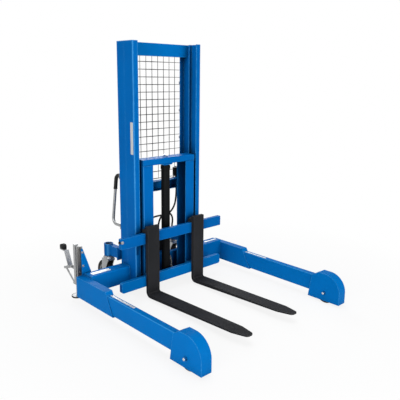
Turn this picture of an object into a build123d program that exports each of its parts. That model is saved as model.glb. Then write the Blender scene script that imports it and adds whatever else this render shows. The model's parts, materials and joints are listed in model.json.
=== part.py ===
from build123d import *
import os
from math import atan2, degrees, dist, radians, tan

# Pallet stacker: a fixed mast with a hydraulic lift carriage, two hook-on forks,
# straddle legs that slide out sideways, two swivel casters and a floor lock.
# Millimetres, +Z up, the forks point to -Y. Left is -X and right is +X, as seen
# from in front of the forks. Y is counted from the front face of the mast, and
# every piece is moved at the end so that the origin is the footprint's centre.

# Fits
gap = 0.5
seat_gap = 0.3
run_gap = 0.05

# Mast
mast_width = 712
mast_depth = 216
mast_flange = 50
mast_wall = 6
mast_corner = 10
mast_bottom = 70
mast_top = 2080
guide_width = 25
guide_thick = 12
base_plate = 20
base_beam_top = 240
beam_depth = 45
beam_wall = 6
top_beam_height = 103
cross_depth = 60
cross_height = 84
cross_z = 838

# Mesh guard
mesh_wire = 5
mesh_columns = 10
mesh_inset = 41
mesh_drop = 20
mesh_z = 930

# Carriage
carriage_front = -14
carriage_side = 73
carriage_bottom = 107
carriage_top = 1151
post_width = 98
post_depth = 120
post_wall = 6
post_corner = 8
top_bar_height = 51
rod_tab_height = 16
rod_tab_half = 42
rod_tab_slope = 16
rod_tab_thick = 70
roller_radius = 50.5
roller_width = 32
roller_heights = (170, 520)
axle_radius = 15
collar_radius = 23

# Fork bars and forks
bar_front = -76
bar_thick = 32
bar_height = 87
bar_half = 552
upper_bar_z = 475
upper_bar_corner = 6
lower_bar_corner = 20
pad_height = 57
fork_x = 252
fork_width = 118
fork_thick = 30
fork_length = 1067
fork_z = 18
fork_rise = 28
fork_top = 622
fork_heel = 46
fork_throat = 14
fork_tip_thick = 9
fork_tip_taper = 130
fork_tip_half = 31
hook_top = 590
hook_lip = 22
hook_lip_thick = 15

# Fork clamp
clamp_radius = 5
clamp_clearance = 0.4
clamp_hub = 12
clamp_arm = 58
clamp_ball = 9

# Lift cylinder, two stages
barrel_radius = 37
barrel_top = 1075
stage_radius = 30
stage_top = 1081
rod_radius = 20
cylinder_gap = 0.4
gland_height = 26
stud_radius = 12
nut_across = 38
nut_height = 17
port_height = 115

# Legs
leg_spread = 401.5
leg_bottom = 67
leg_width = 51
leg_height = 140
leg_wall = 5
leg_corner = 8
sleeve_wall = 6
sleeve_top = 232
sleeve_front = -248.5
sleeve_slant = 48.5
sleeve_end = 8
sleeve_plug = 42
socket_front = 86
socket_depth = 110
socket_bottom = 112
socket_height = 140
socket_wall = 6
socket_corner = 8
slide_start = 24

# Leg clamp knob
knob_inset = 157.5
knob_radius = 24
knob_thick = 20
knob_lobes = 6
knob_stud = 6
knob_boss = 15

# Load wheels and fenders
load_axle_y = -1120
load_radius = 90
load_width = 62
load_hub = 55
load_bore = 8
load_head = 12
fender_width = 88
fender_wall = 6
fender_bottom = 21
fender_radius = 140
fender_flat = 64
fender_rear = -964
fender_lean = 30

# Casters
caster_out = 11
caster_back = 169
caster_trail = 45
caster_radius = 110
caster_width = 50
caster_hub = 72
caster_bore = 8
caster_cheek = 7
caster_side = 4
crown_bottom = 234
crown_thick = 12
head_radius = 46
stem_radius = 29.6
housing_radius = 40
housing_bottom = 278
housing_top = 384
stem_gap = 0.4
arm_width = 50
arm_bottom = 287
arm_height = 88
arm_wall = 6
arm_foot = 10

# Push handle
handle_radius = 12.5
handle_low_reach = 136
handle_high_reach = 69
handle_bottom = 568
handle_top = 1000
handle_bend = 45
handle_inset = 20
handle_foot_width = 36
handle_foot_height = 46
grip_thick = 4
grip_share = 0.28

# Pump, valve and hoses
shelf_half = 182
shelf_thick = 6
shelf_back = 184
shelf_lip = 32
tank_left = -140
tank_right = 55
tank_back = 19
tank_depth = 150
tank_top = 400
pump_right = 150
pump_step = 15
pump_depth = 110
pump_top = 372
pump_barrel = 24
pipe_radius = 9
pipe_reach = 102
pipe_z = 365
pedal_x = 105
pedal_pivot_back = 32
pedal_pivot_z = 322
pedal_length = 108
pedal_rise = 74
valve_inset = 66
valve_half = 26
valve_depth = 42
valve_height = 74
valve_standoff = 12
valve_ear = 12
valve_lever_side = 14
valve_lever_reach = 34
valve_lever_drop = 84
valve_ball = 15
hose_radius = 8
fitting_radius = 12
fitting_length = 26
hose_lead = 72
hose_out = 38

# Floor lock on the left leg; pairs are (y, z)
lock_y = 265
lock_guide = 30
lock_guide_bottom = 165
lock_guide_top = 488
lock_rod = 8
lock_foot = 45
lock_foot_z = 40
lock_foot_thick = 12
lock_flange = 6
lock_flange_left = 18
lock_flange_right = 32
lock_flange_bottom = 150
lock_flange_top = 476
lock_rib = 8
lock_pivot = (322, 285)
lock_crank = (436, 248)
lock_pin = (303, 150)
lock_eye_room = 2.2
lock_lug = 9
lock_cheek = 5
lock_arm_foot = (362, 273)
lock_arm_top = (418, 397)
lock_arm_half = 20
lock_arm_thick = 8
lock_tread_rear = 490
lock_pad_half = 22
lock_pad_length = 42
lock_pad_height = 36
gusset_top = 455
gusset_tip = 14
gusset_reach = 76
gusset_foot = 80

# Sizes that follow from the ones above
side_face = mast_width / 2
web = side_face - mast_wall
rear_face = mast_depth - mast_wall
mesh_pitch = (mast_width - 2 * mesh_inset - mesh_wire) / mesh_columns
mesh_rows = int((mast_top - mesh_drop - mesh_z) / mesh_pitch)
carriage_half = web - carriage_side
roller_y = mast_wall + gap + roller_radius
guide_y = roller_y + roller_radius + gap
base_top = mast_bottom + base_plate
bar_rear = bar_front + bar_thick
lower_bar_z = carriage_bottom
lift_y = carriage_front + post_depth / 2
rod_shoulder = carriage_top - top_bar_height - rod_tab_height
shank_rear = bar_front - gap
shank_front = shank_rear - fork_thick
blade_top = fork_z + fork_thick
fork_tip = shank_front - fork_length
tip_top = blade_top + fork_rise
hook_seat = upper_bar_z + bar_height + gap
clamp_y = (bar_front + bar_rear) / 2
leg_x = side_face + leg_spread
knob_x = leg_x - knob_inset
slide_inner = side_face + slide_start
socket_end = leg_x - leg_width / 2 - sleeve_wall - seat_gap - gap
slide_top = socket_bottom + socket_height - socket_wall - gap
sleeve_half = leg_width / 2 + seat_gap + sleeve_wall
sleeve_bottom = leg_bottom - seat_gap - sleeve_wall
sleeve_rear = socket_front + socket_depth + 12
socket_rear = socket_front + socket_depth
fender_top = load_radius + 20 + fender_radius
caster_x = side_face + caster_out
caster_y = mast_depth + caster_back
caster_axle = caster_y + caster_trail
plate_rear = sleeve_rear + sleeve_end
handle_x = side_face - handle_inset
shelf_top = base_beam_top + shelf_thick
shelf_rear = mast_depth + shelf_back
tank_front = mast_depth + tank_back
tank_rear = tank_front + tank_depth
pump_front = tank_front + pump_step
pump_rear = pump_front + pump_depth
pipe_end = (pump_right + pipe_reach, pump_front + 12, pipe_z)
pedal_pivot = (pump_rear + pedal_pivot_back, pedal_pivot_z)
pedal_end = (pedal_pivot[0] + pedal_length, pedal_pivot[1] + pedal_rise)
valve_x = side_face - valve_inset
valve_z = cross_z + cross_height + 8
valve_front = rear_face + valve_standoff
valve_rear = valve_front + valve_depth
valve_lever_x = valve_x + valve_lever_side
valve_pivot = (valve_rear + valve_ear, valve_z + 32)
valve_knob = (valve_pivot[0] + valve_lever_reach, valve_pivot[1] - valve_lever_drop)
lock_x = 0.5 - leg_x
front_reach = fender_radius - load_axle_y
rear_reach = caster_axle + caster_radius
mast_shift = (front_reach - rear_reach) / 2


def block(x0, x1, y0, y1, z0, z1):
    """Box between two corners."""
    return Pos((x0 + x1) / 2, (y0 + y1) / 2, (z0 + z1) / 2) * Box(x1 - x0, y1 - y0, z1 - z0)


def rod_x(x0, x1, y, z, radius):
    """Round bar along X."""
    return Pos((x0 + x1) / 2, y, z) * Rot(0, 90, 0) * Cylinder(radius, x1 - x0)


def rod_y(x, y0, y1, z, radius):
    """Round bar along Y."""
    return Pos(x, (y0 + y1) / 2, z) * Rot(90, 0, 0) * Cylinder(radius, y1 - y0)


def rod_z(x, y, z0, z1, radius):
    """Round bar along Z."""
    return Pos(x, y, (z0 + z1) / 2) * Cylinder(radius, z1 - z0)


def plate_yz(points, x0, x1):
    """Flat plate with its outline in Y and Z."""
    return extrude(Plane.YZ.offset(x0) * make_face(Polyline(*points, close=True)), amount=x1 - x0)


def plate_xz(points, y0, y1):
    """Flat plate with its outline in X and Z."""
    return extrude(Plane.XZ.offset(-y0) * make_face(Polyline(*points, close=True)), amount=y0 - y1)


def strap(start, end, width, x0, x1):
    """Flat bar with round ends between two points in Y and Z."""
    middle = ((start[0] + end[0]) / 2, (start[1] + end[1]) / 2)
    turn = degrees(atan2(end[1] - start[1], end[0] - start[0]))
    outline = Pos(*middle) * Rot(0, 0, turn) * SlotCenterToCenter(dist(start, end), width)
    return extrude(Plane.YZ.offset(x0) * outline, amount=x1 - x0)


def hollow(plane, width, height, wall, corner, length):
    """Rectangular tube with rounded corners, drawn out from a plane."""
    outside = RectangleRounded(width, height, corner)
    inside = Rectangle(width - 2 * wall, height - 2 * wall)
    return extrude(plane * (outside - inside), amount=length)


def hollow_x(x0, x1, y0, y1, z0, z1, wall, corner):
    """Rectangular tube along X."""
    start = Plane((x0, (y0 + y1) / 2, (z0 + z1) / 2), x_dir=(0, 1, 0), z_dir=(1, 0, 0))
    return hollow(start, y1 - y0, z1 - z0, wall, corner, x1 - x0)


def hollow_y(x0, x1, y0, y1, z0, z1, wall, corner):
    """Rectangular tube along Y."""
    start = Plane(((x0 + x1) / 2, y0, (z0 + z1) / 2), x_dir=(1, 0, 0), z_dir=(0, 1, 0))
    return hollow(start, x1 - x0, z1 - z0, wall, corner, y1 - y0)


def mirrored(shape):
    """The same piece on the left."""
    return mirror(shape, about=Plane.YZ)


def channel_beam(z0, z1, depth, opens):
    """Channel between the uprights that opens to the front (-1) or to the rear (1)."""
    outside = block(-web, web, rear_face - depth, rear_face, z0, z1)
    inside = block(-web, web, rear_face - depth, rear_face, z0 + beam_wall, z1 - beam_wall)
    return outside - Pos(0, opens * beam_wall, 0) * inside


def channel_section(flange, depth, wall, corner):
    """Section of a channel that opens to -X, with its flanges ending at X = 0."""
    section = RectangleRounded(2 * flange, depth, corner)
    section -= Pos(-wall, 0) * Rectangle(2 * flange, depth - 2 * wall)
    return section & Pos(flange / 2, 0) * Rectangle(flange, depth)


def upright():
    """Right mast upright: a C channel that opens inwards, with its guide bar."""
    section = channel_section(mast_flange, mast_depth, mast_wall, mast_corner)
    place = Pos(side_face - mast_flange, mast_depth / 2, mast_bottom)
    channel = place * extrude(section, amount=mast_top - mast_bottom)
    bar = block(web - guide_width, web, guide_y, guide_y + guide_thick, base_top + gap, mast_top)
    return channel + bar


def base_beam():
    """Bottom plate that carries the cylinder, with the rear channel."""
    plate = block(-web, web, mast_wall, rear_face - beam_depth, mast_bottom, base_top)
    return plate + channel_beam(mast_bottom, base_beam_top, beam_depth, 1)


def crossmembers():
    """Crossmember at the valve and crossmember at the top."""
    return [channel_beam(cross_z, cross_z + cross_height, cross_depth, -1),
            channel_beam(mast_top - top_beam_height, mast_top, beam_depth, 1)]


def mesh_guard():
    """Welded mesh behind the uprights, one face with a grid of gaps."""
    width = mesh_columns * mesh_pitch + mesh_wire
    height = mesh_rows * mesh_pitch + mesh_wire
    opening = mesh_pitch - mesh_wire
    openings = GridLocations(mesh_pitch, mesh_pitch, mesh_columns, mesh_rows) * Rectangle(opening, opening)
    net = extrude(Rectangle(width, height) - openings, amount=mesh_wire)
    return Pos(0, mast_depth + mesh_wire, mesh_z + height / 2) * Rot(90, 0, 0) * net


def leg_socket():
    """Tube on the mast's side that takes the leg's slide tube, with a boss for the clamp."""
    z = socket_bottom + socket_height / 2
    tube = hollow_x(side_face, socket_end, socket_front, socket_rear,
                    socket_bottom, socket_bottom + socket_height, socket_wall, socket_corner)
    boss = rod_y(knob_x, socket_rear, socket_rear + knob_boss, z, knob_boss)
    bore = rod_y(knob_x, socket_rear - socket_wall, socket_rear + knob_boss, z,
                 knob_stud + clamp_clearance)
    return tube + boss - bore


def leg_clamp():
    """Lobed knob with a stud that presses on the slide tube."""
    z = socket_bottom + socket_height / 2
    start = socket_rear + knob_boss + gap
    tip = socket_rear - socket_wall
    grip = rod_y(knob_x, start, start + knob_thick, z, knob_radius)
    lobe = rod_y(0, start, start + knob_thick, 0, knob_radius / 4)
    for place in PolarLocations(knob_radius, knob_lobes):
        point = place.position
        grip -= Pos(knob_x + point.X, 0, z + point.Y) * lobe
    return grip + rod_y(knob_x, tip, start, z, knob_stud)


def caster_arm():
    """Arm from the mast's rear flange to the open swivel housing."""
    start = mast_depth
    foot = block(side_face - mast_flange, side_face + arm_width / 2 + 11, start, start + arm_foot,
                 housing_bottom - 3, housing_top + 3)
    outer = arm_width / 2
    inner = outer - arm_wall
    beam = block(side_face - outer, side_face + outer, start + arm_foot, caster_y,
                 arm_bottom, arm_bottom + arm_height)
    beam -= block(side_face - inner, side_face + inner, start + arm_foot, caster_y,
                  arm_bottom, arm_bottom + arm_height - arm_wall)
    housing = rod_z(caster_x, caster_y, housing_bottom, housing_top, housing_radius)
    bore = rod_z(caster_x, caster_y, housing_bottom, housing_top, stem_radius + stem_gap)
    return foot + beam + housing - bore


def caster_fork():
    """Swivel fork with its stem, head, two cheeks and the axle bolt."""
    half = caster_width / 2 + caster_side
    crown = block(caster_x - half - caster_cheek, caster_x + half + caster_cheek,
                  caster_y - 40, caster_axle + 12, crown_bottom, crown_bottom + crown_thick)
    head = rod_z(caster_x, caster_y, crown_bottom + crown_thick, housing_bottom - gap, head_radius)
    stem = rod_z(caster_x, caster_y, housing_bottom - gap, housing_top - 22, stem_radius)
    outline = [(caster_y - 34, crown_bottom), (caster_axle + 12, crown_bottom),
               (caster_axle + 20, caster_radius), (caster_axle + 6, caster_radius - 20),
               (caster_axle - 12, caster_radius - 18)]
    fork = crown + head + stem
    for inner in (caster_x - half - caster_cheek, caster_x + half):
        fork += plate_yz(outline, inner, inner + caster_cheek)
    bolt = rod_x(caster_x - half - caster_cheek - 7, caster_x + half + caster_cheek + 7,
                 caster_axle, caster_radius, caster_bore)
    heads = [rod_x(x, x + 7, caster_axle, caster_radius, caster_bore * 1.6)
             for x in (caster_x - half - caster_cheek - 7, caster_x + half + caster_cheek)]
    return fork + bolt + heads


def tyre(radius, inner, width, round_edge):
    """Solid tyre about the X axis."""
    ring = Cylinder(radius, width)
    ring = fillet(ring.edges().filter_by(GeomType.CIRCLE), round_edge) - Cylinder(inner, width)
    return Rot(0, 90, 0) * ring


def hub(radius, bore, width, recess):
    """Wheel centre about the X axis, hollowed on both faces between rim and boss."""
    wheel = Cylinder(radius, width)
    groove = Cylinder(radius * 0.84, recess) - Cylinder(bore * 2, recess)
    for side in (-1, 1):
        wheel -= Pos(0, 0, side * (width - recess) / 2) * groove
    return Rot(0, 90, 0) * (wheel - Cylinder(bore + run_gap, width))


def handle_corners():
    """Path corners of a push handle on the right, from its lower foot to its upper foot."""
    start = mast_depth + mast_wall
    low = mast_depth + handle_low_reach
    high = mast_depth + handle_high_reach
    return [Vector(handle_x, start, handle_bottom), Vector(handle_x, low, handle_bottom),
            Vector(handle_x, high, handle_top), Vector(handle_x, start, handle_top)]


def push_handle():
    """Bent grab handle on the mast's rear flange, leaning in towards its top."""
    corners = handle_corners()
    path = FilletPolyline(*corners, radius=handle_bend)
    handle = sweep(Plane(corners[0], z_dir=(0, 1, 0)) * Circle(handle_radius), path=path)
    x0 = handle_x - handle_foot_width / 2
    x1 = handle_x + handle_foot_width / 2
    end = handle_foot_height / 2
    for z in (handle_bottom, handle_top):
        handle += block(x0, x1, mast_depth, mast_depth + mast_wall, z - end, z + end)
    return handle


def handle_grip():
    """Rubber grip over the upper bend of the push handle."""
    _, low, high, end = handle_corners()
    start = high + (low - high) * grip_share
    path = FilletPolyline(start, high, end + Vector(0, gap, 0), radius=handle_bend)
    inner = handle_radius + cylinder_gap / 2
    ring = Circle(inner + grip_thick) - Circle(inner)
    return sweep(Plane(start, z_dir=high - start) * ring, path=path)


def barrel():
    """Lift cylinder barrel with its gland ring and the hose port at its foot."""
    tube = rod_z(0, lift_y, base_top, barrel_top, barrel_radius)
    ring = rod_z(0, lift_y, barrel_top - gland_height, barrel_top, barrel_radius + 4)
    for place in PolarLocations(barrel_radius + 4, 4):
        point = place.position
        ring -= rod_z(point.X, lift_y + point.Y, barrel_top - gland_height / 2, barrel_top, 4)
    elbow_x = barrel_radius + 26
    port = rod_x(0, elbow_x, lift_y, port_height, fitting_radius)
    elbow = rod_z(elbow_x, lift_y, port_height - fitting_radius, port_height + 18, fitting_radius)
    bore = rod_z(0, lift_y, base_top + 10, barrel_top, stage_radius + cylinder_gap)
    return tube + ring + port + elbow - bore


def stage():
    """Middle stage of the cylinder, a tube with a cap ring over the barrel."""
    tube = rod_z(0, lift_y, base_top + 12, stage_top, stage_radius)
    ring = rod_z(0, lift_y, barrel_top + gap, stage_top, stage_radius + 4)
    bore = rod_z(0, lift_y, base_top + 12, stage_top, rod_radius + cylinder_gap)
    return tube + ring - bore


def lift_rod():
    """Piston rod with a stud and nut through the carriage's top bar."""
    rod = rod_z(0, lift_y, base_top + 16, rod_shoulder, rod_radius)
    stud = rod_z(0, lift_y, rod_shoulder, carriage_top + nut_height + 4, stud_radius)
    nut = extrude(RegularPolygon(nut_across / 2, 6, major_radius=False), amount=nut_height)
    return rod + stud + Pos(0, lift_y, carriage_top) * nut


def carriage_post():
    """Right carriage post, a channel that opens inwards, with spacers for the two fork bars."""
    inner = carriage_half - post_width
    section = channel_section(post_width, post_depth, post_wall, post_corner)
    height = carriage_top - top_bar_height - carriage_bottom
    post = Pos(inner, lift_y, carriage_bottom) * extrude(section, amount=height)
    for z0, z1 in ((lower_bar_z, lower_bar_z + bar_height), (upper_bar_z, upper_bar_z + pad_height)):
        post += block(inner + post_corner, carriage_half - post_corner, bar_rear, carriage_front, z0, z1)
    return post


def carriage_top_bar():
    """Top bar of the carriage with the tapered tab that takes the rod."""
    under = carriage_top - top_bar_height
    bar = hollow_x(-carriage_half, carriage_half, carriage_front, carriage_front + post_depth,
                   under, carriage_top, post_wall, post_corner)
    for x in (-carriage_half, carriage_half - post_wall):
        bar += block(x, x + post_wall, carriage_front + post_wall, carriage_front + post_depth - post_wall,
                     under + post_wall, carriage_top - post_wall)
    outline = [(-rod_tab_half - rod_tab_slope, under), (-rod_tab_half, rod_shoulder),
               (rod_tab_half, rod_shoulder), (rod_tab_half + rod_tab_slope, under)]
    tab = plate_xz(outline, lift_y - rod_tab_thick / 2, lift_y + rod_tab_thick / 2)
    return bar + tab - rod_z(0, lift_y, rod_shoulder, carriage_top, stud_radius + cylinder_gap)


def fork_bar(z, corner):
    """Flat bar across the carriage that the forks hang on or lean against."""
    outline = Pos(0, z + bar_height / 2) * RectangleRounded(2 * bar_half, bar_height, corner)
    return extrude(Plane.XZ.offset(-bar_front) * outline, amount=-bar_thick)


def roller_axles():
    """Stub axles on both posts, each with an inner collar and an end washer."""
    start = web - gap - 6 - roller_width
    axles = []
    for z in roller_heights:
        axle = rod_x(carriage_half, web - 2, roller_y, z, axle_radius)
        axle += rod_x(carriage_half, start - gap, roller_y, z, collar_radius)
        axle += rod_x(start + roller_width + gap, web - 2, roller_y, z, collar_radius)
        axles += [axle, mirrored(axle)]
    return axles


def carriage_roller(z):
    """Right guide roller that runs between the front flange and the guide bar."""
    start = web - gap - 6 - roller_width
    wheel = fillet(Cylinder(roller_radius, roller_width).edges(), 2)
    wheel = Rot(0, 90, 0) * (wheel - Cylinder(axle_radius + run_gap, roller_width))
    return Pos(start + roller_width / 2, roller_y, z) * wheel


def fork():
    """Forged L fork: hook over the upper bar, thick heel, blade rising and thinning to its tip."""
    lip_front = bar_rear + gap
    lip_rear = lip_front + hook_lip_thick
    lip_bottom = hook_seat - hook_lip
    outline = make_face(Polyline(
        (fork_tip, tip_top), (shank_front, blade_top), (shank_front, fork_top),
        (shank_rear, fork_top), (shank_rear, hook_top), (lip_rear, hook_top),
        (lip_rear, lip_bottom), (lip_front, lip_bottom), (lip_front, hook_seat),
        (shank_rear, hook_seat), (shank_rear, fork_z), (shank_front - fork_heel, fork_z),
        (fork_tip, tip_top - fork_tip_thick), close=True))
    for corner, radius in (((shank_rear, fork_z), fork_heel), ((shank_front, blade_top), fork_throat),
                           ((shank_front, fork_top), 8), ((lip_rear, hook_top), 8)):
        outline = fillet(outline.vertices().sort_by_distance((*corner, 0))[0], radius)
    forging = extrude(Plane.YZ * outline, amount=fork_width / 2, both=True)
    half = fork_width / 2
    plan = make_face(Polyline(
        (-half, lip_rear), (-half, fork_tip + fork_tip_taper), (-fork_tip_half, fork_tip),
        (fork_tip_half, fork_tip), (half, fork_tip + fork_tip_taper), (half, lip_rear), close=True))
    for side in (-1, 1):
        nose = plan.vertices().sort_by_distance((side * fork_tip_half, fork_tip, 0))[0]
        plan = fillet(nose, fork_tip_half * 0.9)
    forging &= extrude(plan, amount=fork_top)
    bore = rod_z(0, clamp_y, hook_seat, hook_top, clamp_radius + clamp_clearance)
    return forging - bore


def fork_clamp():
    """Clamp lever on a fork's hook; its arm points along +X."""
    hub_bottom = hook_top + gap
    screw = rod_z(0, clamp_y, hook_seat + gap, hub_bottom, clamp_radius)
    centre = rod_z(0, clamp_y, hub_bottom, hub_bottom + 16, clamp_hub)
    arm = rod_x(0, clamp_arm, clamp_y, hub_bottom + 9, clamp_radius)
    return screw + centre + arm + Pos(clamp_arm, clamp_y, hub_bottom + 9) * Sphere(clamp_ball)


def leg_sleeve(plate):
    """Right leg's sleeve with its slide tube and the given plate on its rear end."""
    x0 = leg_x - sleeve_half
    x1 = leg_x + sleeve_half
    bottom_front = sleeve_front - sleeve_slant
    top_front = sleeve_front + sleeve_slant
    body = plate_yz([(bottom_front, sleeve_bottom), (sleeve_rear, sleeve_bottom),
                     (sleeve_rear, sleeve_top), (top_front, sleeve_top)], x0, x1)
    inner = leg_width / 2 + seat_gap
    floor = leg_bottom - seat_gap
    body -= block(leg_x - inner, leg_x + inner, bottom_front, sleeve_rear,
                  floor, leg_bottom + leg_height + seat_gap)
    body -= block(leg_x - inner, leg_x + inner, top_front + sleeve_plug, sleeve_rear,
                  floor, sleeve_top - sleeve_wall)
    margin = socket_wall + gap
    tube = hollow_x(slide_inner, x0, socket_front + margin, socket_rear - margin,
                    socket_bottom + margin, slide_top, socket_wall, socket_corner - 3)
    tube += block(x0 - socket_wall, x0, socket_front + 2 * margin, socket_rear - 2 * margin,
                  socket_bottom + 2 * margin - gap, slide_top - socket_wall)
    return body + tube + plate


def end_plate():
    """Plain plate that closes the right sleeve's rear end."""
    return block(leg_x - sleeve_half, leg_x + sleeve_half, sleeve_rear, plate_rear,
                 sleeve_bottom, sleeve_top)


def lock_mount_plate():
    """Rear end plate of the floor lock's leg, rising to a gusset that takes the lock."""
    x0 = leg_x - sleeve_half
    x1 = leg_x + sleeve_half
    outline = [(x1, sleeve_bottom), (x1, sleeve_top), (x0 + gusset_tip, sleeve_top),
               (x0 + gusset_tip, gusset_top), (x0, gusset_top), (x0 - gusset_reach, sleeve_top),
               (x0 - gusset_reach, sleeve_top - gusset_foot), (x0, sleeve_bottom)]
    return plate_xz(outline, sleeve_rear, plate_rear)


def fender_outline(inset, bottom):
    """Side outline of a wheel fender, drawn in by a wall, in Y and Z."""
    top = fender_top - inset
    rear = fender_rear - inset
    shoulder = leg_bottom + leg_height + 5 - inset
    arc = CenterArc((load_axle_y, load_radius + 20), fender_radius - inset, 90, 90)
    front = load_axle_y - fender_radius + inset
    back = Polyline((front, load_radius + 20), (front, bottom), (rear, bottom),
                    (rear - fender_lean, shoulder), (load_axle_y + fender_flat, top), (load_axle_y, top))
    return make_face([back, arc])


def leg_arm():
    """Right leg tube with the wheel fender at its front end."""
    half = leg_width / 2
    end = fender_rear - fender_lean - fender_wall
    tube = hollow_y(leg_x - half, leg_x + half, end, sleeve_rear - 18,
                    leg_bottom, leg_bottom + leg_height, leg_wall, leg_corner)
    side = leg_x - fender_width / 2
    shell = extrude(Plane.YZ.offset(side) * fender_outline(0, fender_bottom), amount=fender_width)
    room = extrude(Plane.YZ.offset(side + fender_wall) * fender_outline(fender_wall, 0),
                   amount=fender_width - 2 * fender_wall)
    bore = rod_x(side, side + fender_width, load_axle_y, load_radius, load_bore)
    return tube + (shell - room) - bore


def leg_axle():
    """Axle bolt of a load wheel, with hexagon head, nut and spacers inside the fender."""
    side = leg_x - fender_width / 2
    bolt = rod_x(side - 9, side + fender_width + 9, load_axle_y, load_radius, load_bore)
    hexagon = extrude(RegularPolygon(load_head, 6, major_radius=False), amount=9)
    for x in (side - 9, side + fender_width):
        bolt += Pos(x, load_axle_y, load_radius) * Rot(0, 90, 0) * hexagon
    room = (fender_width - load_width) / 2 - fender_wall - gap
    for x in (side + fender_wall, side + fender_width - fender_wall - room):
        bolt += rod_x(x, x + room, load_axle_y, load_radius, load_bore * 2)
    return bolt


def pump_shelf():
    """Shelf on the rear channel with turned-down sides."""
    front = rear_face - beam_depth
    shelf = block(-shelf_half, shelf_half, front, shelf_rear, base_beam_top, shelf_top)
    for x in (-shelf_half, shelf_half - shelf_thick):
        shelf += block(x, x + shelf_thick, rear_face, shelf_rear, base_beam_top - shelf_lip, base_beam_top)
    return shelf


def pump_unit():
    """Oil tank and foot pump with its outlet, return port, filler cap and pedal ears."""
    tank = block(tank_left, tank_right, tank_front, tank_rear, shelf_top, tank_top)
    tank = fillet(tank.edges().filter_by(Axis.Z), 18)
    tank += rod_z(tank_left + 55, tank_rear - 45, tank_top, tank_top + 16, 20)
    pump = block(tank_right, pump_right, pump_front, pump_rear, shelf_top, pump_top)
    pump += rod_z(pedal_x, pump_front + 50, pump_top, pump_top + 53, pump_barrel)
    y, z = pedal_pivot
    for x in (pedal_x - 13, pedal_x + 7):
        pump += block(x, x + 6, pump_rear, y, z - 16, z + 16) + rod_x(x, x + 6, y, z, 16)
    pin = rod_x(pedal_x - 16, pedal_x + 16, y, z, 6)
    pipe = rod_x(pump_right, pipe_end[0], *pipe_end[1:], pipe_radius)
    pipe += Pos(*pipe_end) * Sphere(pipe_radius) + rod_z(*pipe_end, pump_port[2], pipe_radius)
    return tank + pump + pin + pipe


def pump_pedal():
    """Foot pedal of the pump with its tread."""
    y, z = pedal_end
    arm = strap(pedal_pivot, pedal_end, 26, pedal_x - 6, pedal_x + 6)
    arm -= rod_x(pedal_x - 6, pedal_x + 6, *pedal_pivot, 6 + run_gap)
    tread = block(pedal_x - 42, pedal_x + 42, y - 30, y + 26, z + 8, z + 16)
    for row in range(4):
        tread += block(pedal_x - 38, pedal_x + 38, y - 26 + 13 * row, y - 20 + 13 * row, z + 16, z + 20)
    return arm + tread


def control_valve():
    """Valve block above the rear crossmember, on a bracket, with ears for its lever."""
    x0 = valve_x - valve_half
    x1 = valve_x + valve_half
    foot = cross_z + 20
    body = block(x0, x1, valve_front, valve_rear, valve_z, valve_z + valve_height)
    body += block(x0, side_face - mast_flange - gap, rear_face, valve_front, foot, valve_z - 16)
    body += block(x0, x1, valve_front, valve_front + 6, foot, valve_z)
    y, z = valve_pivot
    for x in (valve_lever_x - 10, valve_lever_x + 5):
        body += block(x, x + 5, valve_rear, y, z - 11, z + 11) + rod_x(x, x + 5, y, z, 11)
    return body + rod_x(valve_lever_x - 12, valve_lever_x + 12, y, z, 4)


def valve_lever():
    """Hand lever of the valve with a ball knob."""
    x0 = valve_lever_x - 4
    x1 = valve_lever_x + 4
    lever = strap(valve_pivot, valve_knob, 14, x0, x1) - rod_x(x0, x1, *valve_pivot, 4 + run_gap)
    return lever + Pos(valve_lever_x, *valve_knob) * Sphere(valve_ball)


# Hose routes from the pump to the cylinder, and from the valve to the tank. The
# first and last runs leave their fittings along the fitting's own axis.
valve_port = (valve_x, valve_front + valve_depth / 2, valve_z)
pump_port = (pipe_end[0], pipe_end[1], pipe_end[2] + 18)
tank_port = (tank_left + 40, tank_front + 60, tank_top)
cylinder_port = (barrel_radius + 26, lift_y, port_height + 18)
lift_route = [
    (*pump_port[:2], pump_port[2] + fitting_length), (*pump_port[:2], pump_port[2] + hose_lead),
    (pump_port[0] - 3, mast_depth + 30, 508), (pump_port[0] - 26, mast_depth + 14, 562),
    (pump_port[0] - hose_lead, mast_depth + 6, 601), (126, mast_depth + 4, 604), (82, mast_depth + 3, 570),
    (55, mast_depth, 516), (47, mast_depth - 10, 458), (50, mast_depth - hose_out, 405),
    (57, mast_depth - hose_lead, 358), (cylinder_port[0] - 2, lift_y + 62, 312),
    (cylinder_port[0], lift_y + 28, 264),
    (*cylinder_port[:2], cylinder_port[2] + hose_lead),
    (*cylinder_port[:2], cylinder_port[2] + fitting_length)]
control_route = [
    (*valve_port[:2], valve_z - fitting_length), (*valve_port[:2], valve_z - hose_lead),
    (valve_x - 1, mast_depth + 25, 780), (valve_x - 5, mast_depth + 28, 710),
    (valve_x - 13, mast_depth + 33, 655), (valve_x - 40, mast_depth + hose_out, 607),
    (valve_x - 83, mast_depth + hose_out, 580),
    (144, mast_depth + hose_out, 574), (86, mast_depth + hose_out, 577), (28, mast_depth + 40, 573),
    (-26, mast_depth + 49, 555), (-69, mast_depth + 64, 520),
    (*tank_port[:2], tank_top + hose_lead), (*tank_port[:2], tank_top + fitting_length)]


def hose(route):
    """Hose along a route, each bend as large as its two runs allow."""
    points = [Vector(*point) for point in route]
    radii = []
    for before, here, after in zip(points, points[1:], points[2:]):
        run = min((here - before).length, (after - here).length)
        half_turn = (here - before).get_angle(after - here) / 2
        radii.append(0.45 * run / tan(radians(half_turn)))
    path = FilletPolyline(*points, radius=radii)
    return sweep(Plane(points[0], z_dir=points[1] - points[0]) * Circle(hose_radius), path=path)


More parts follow.
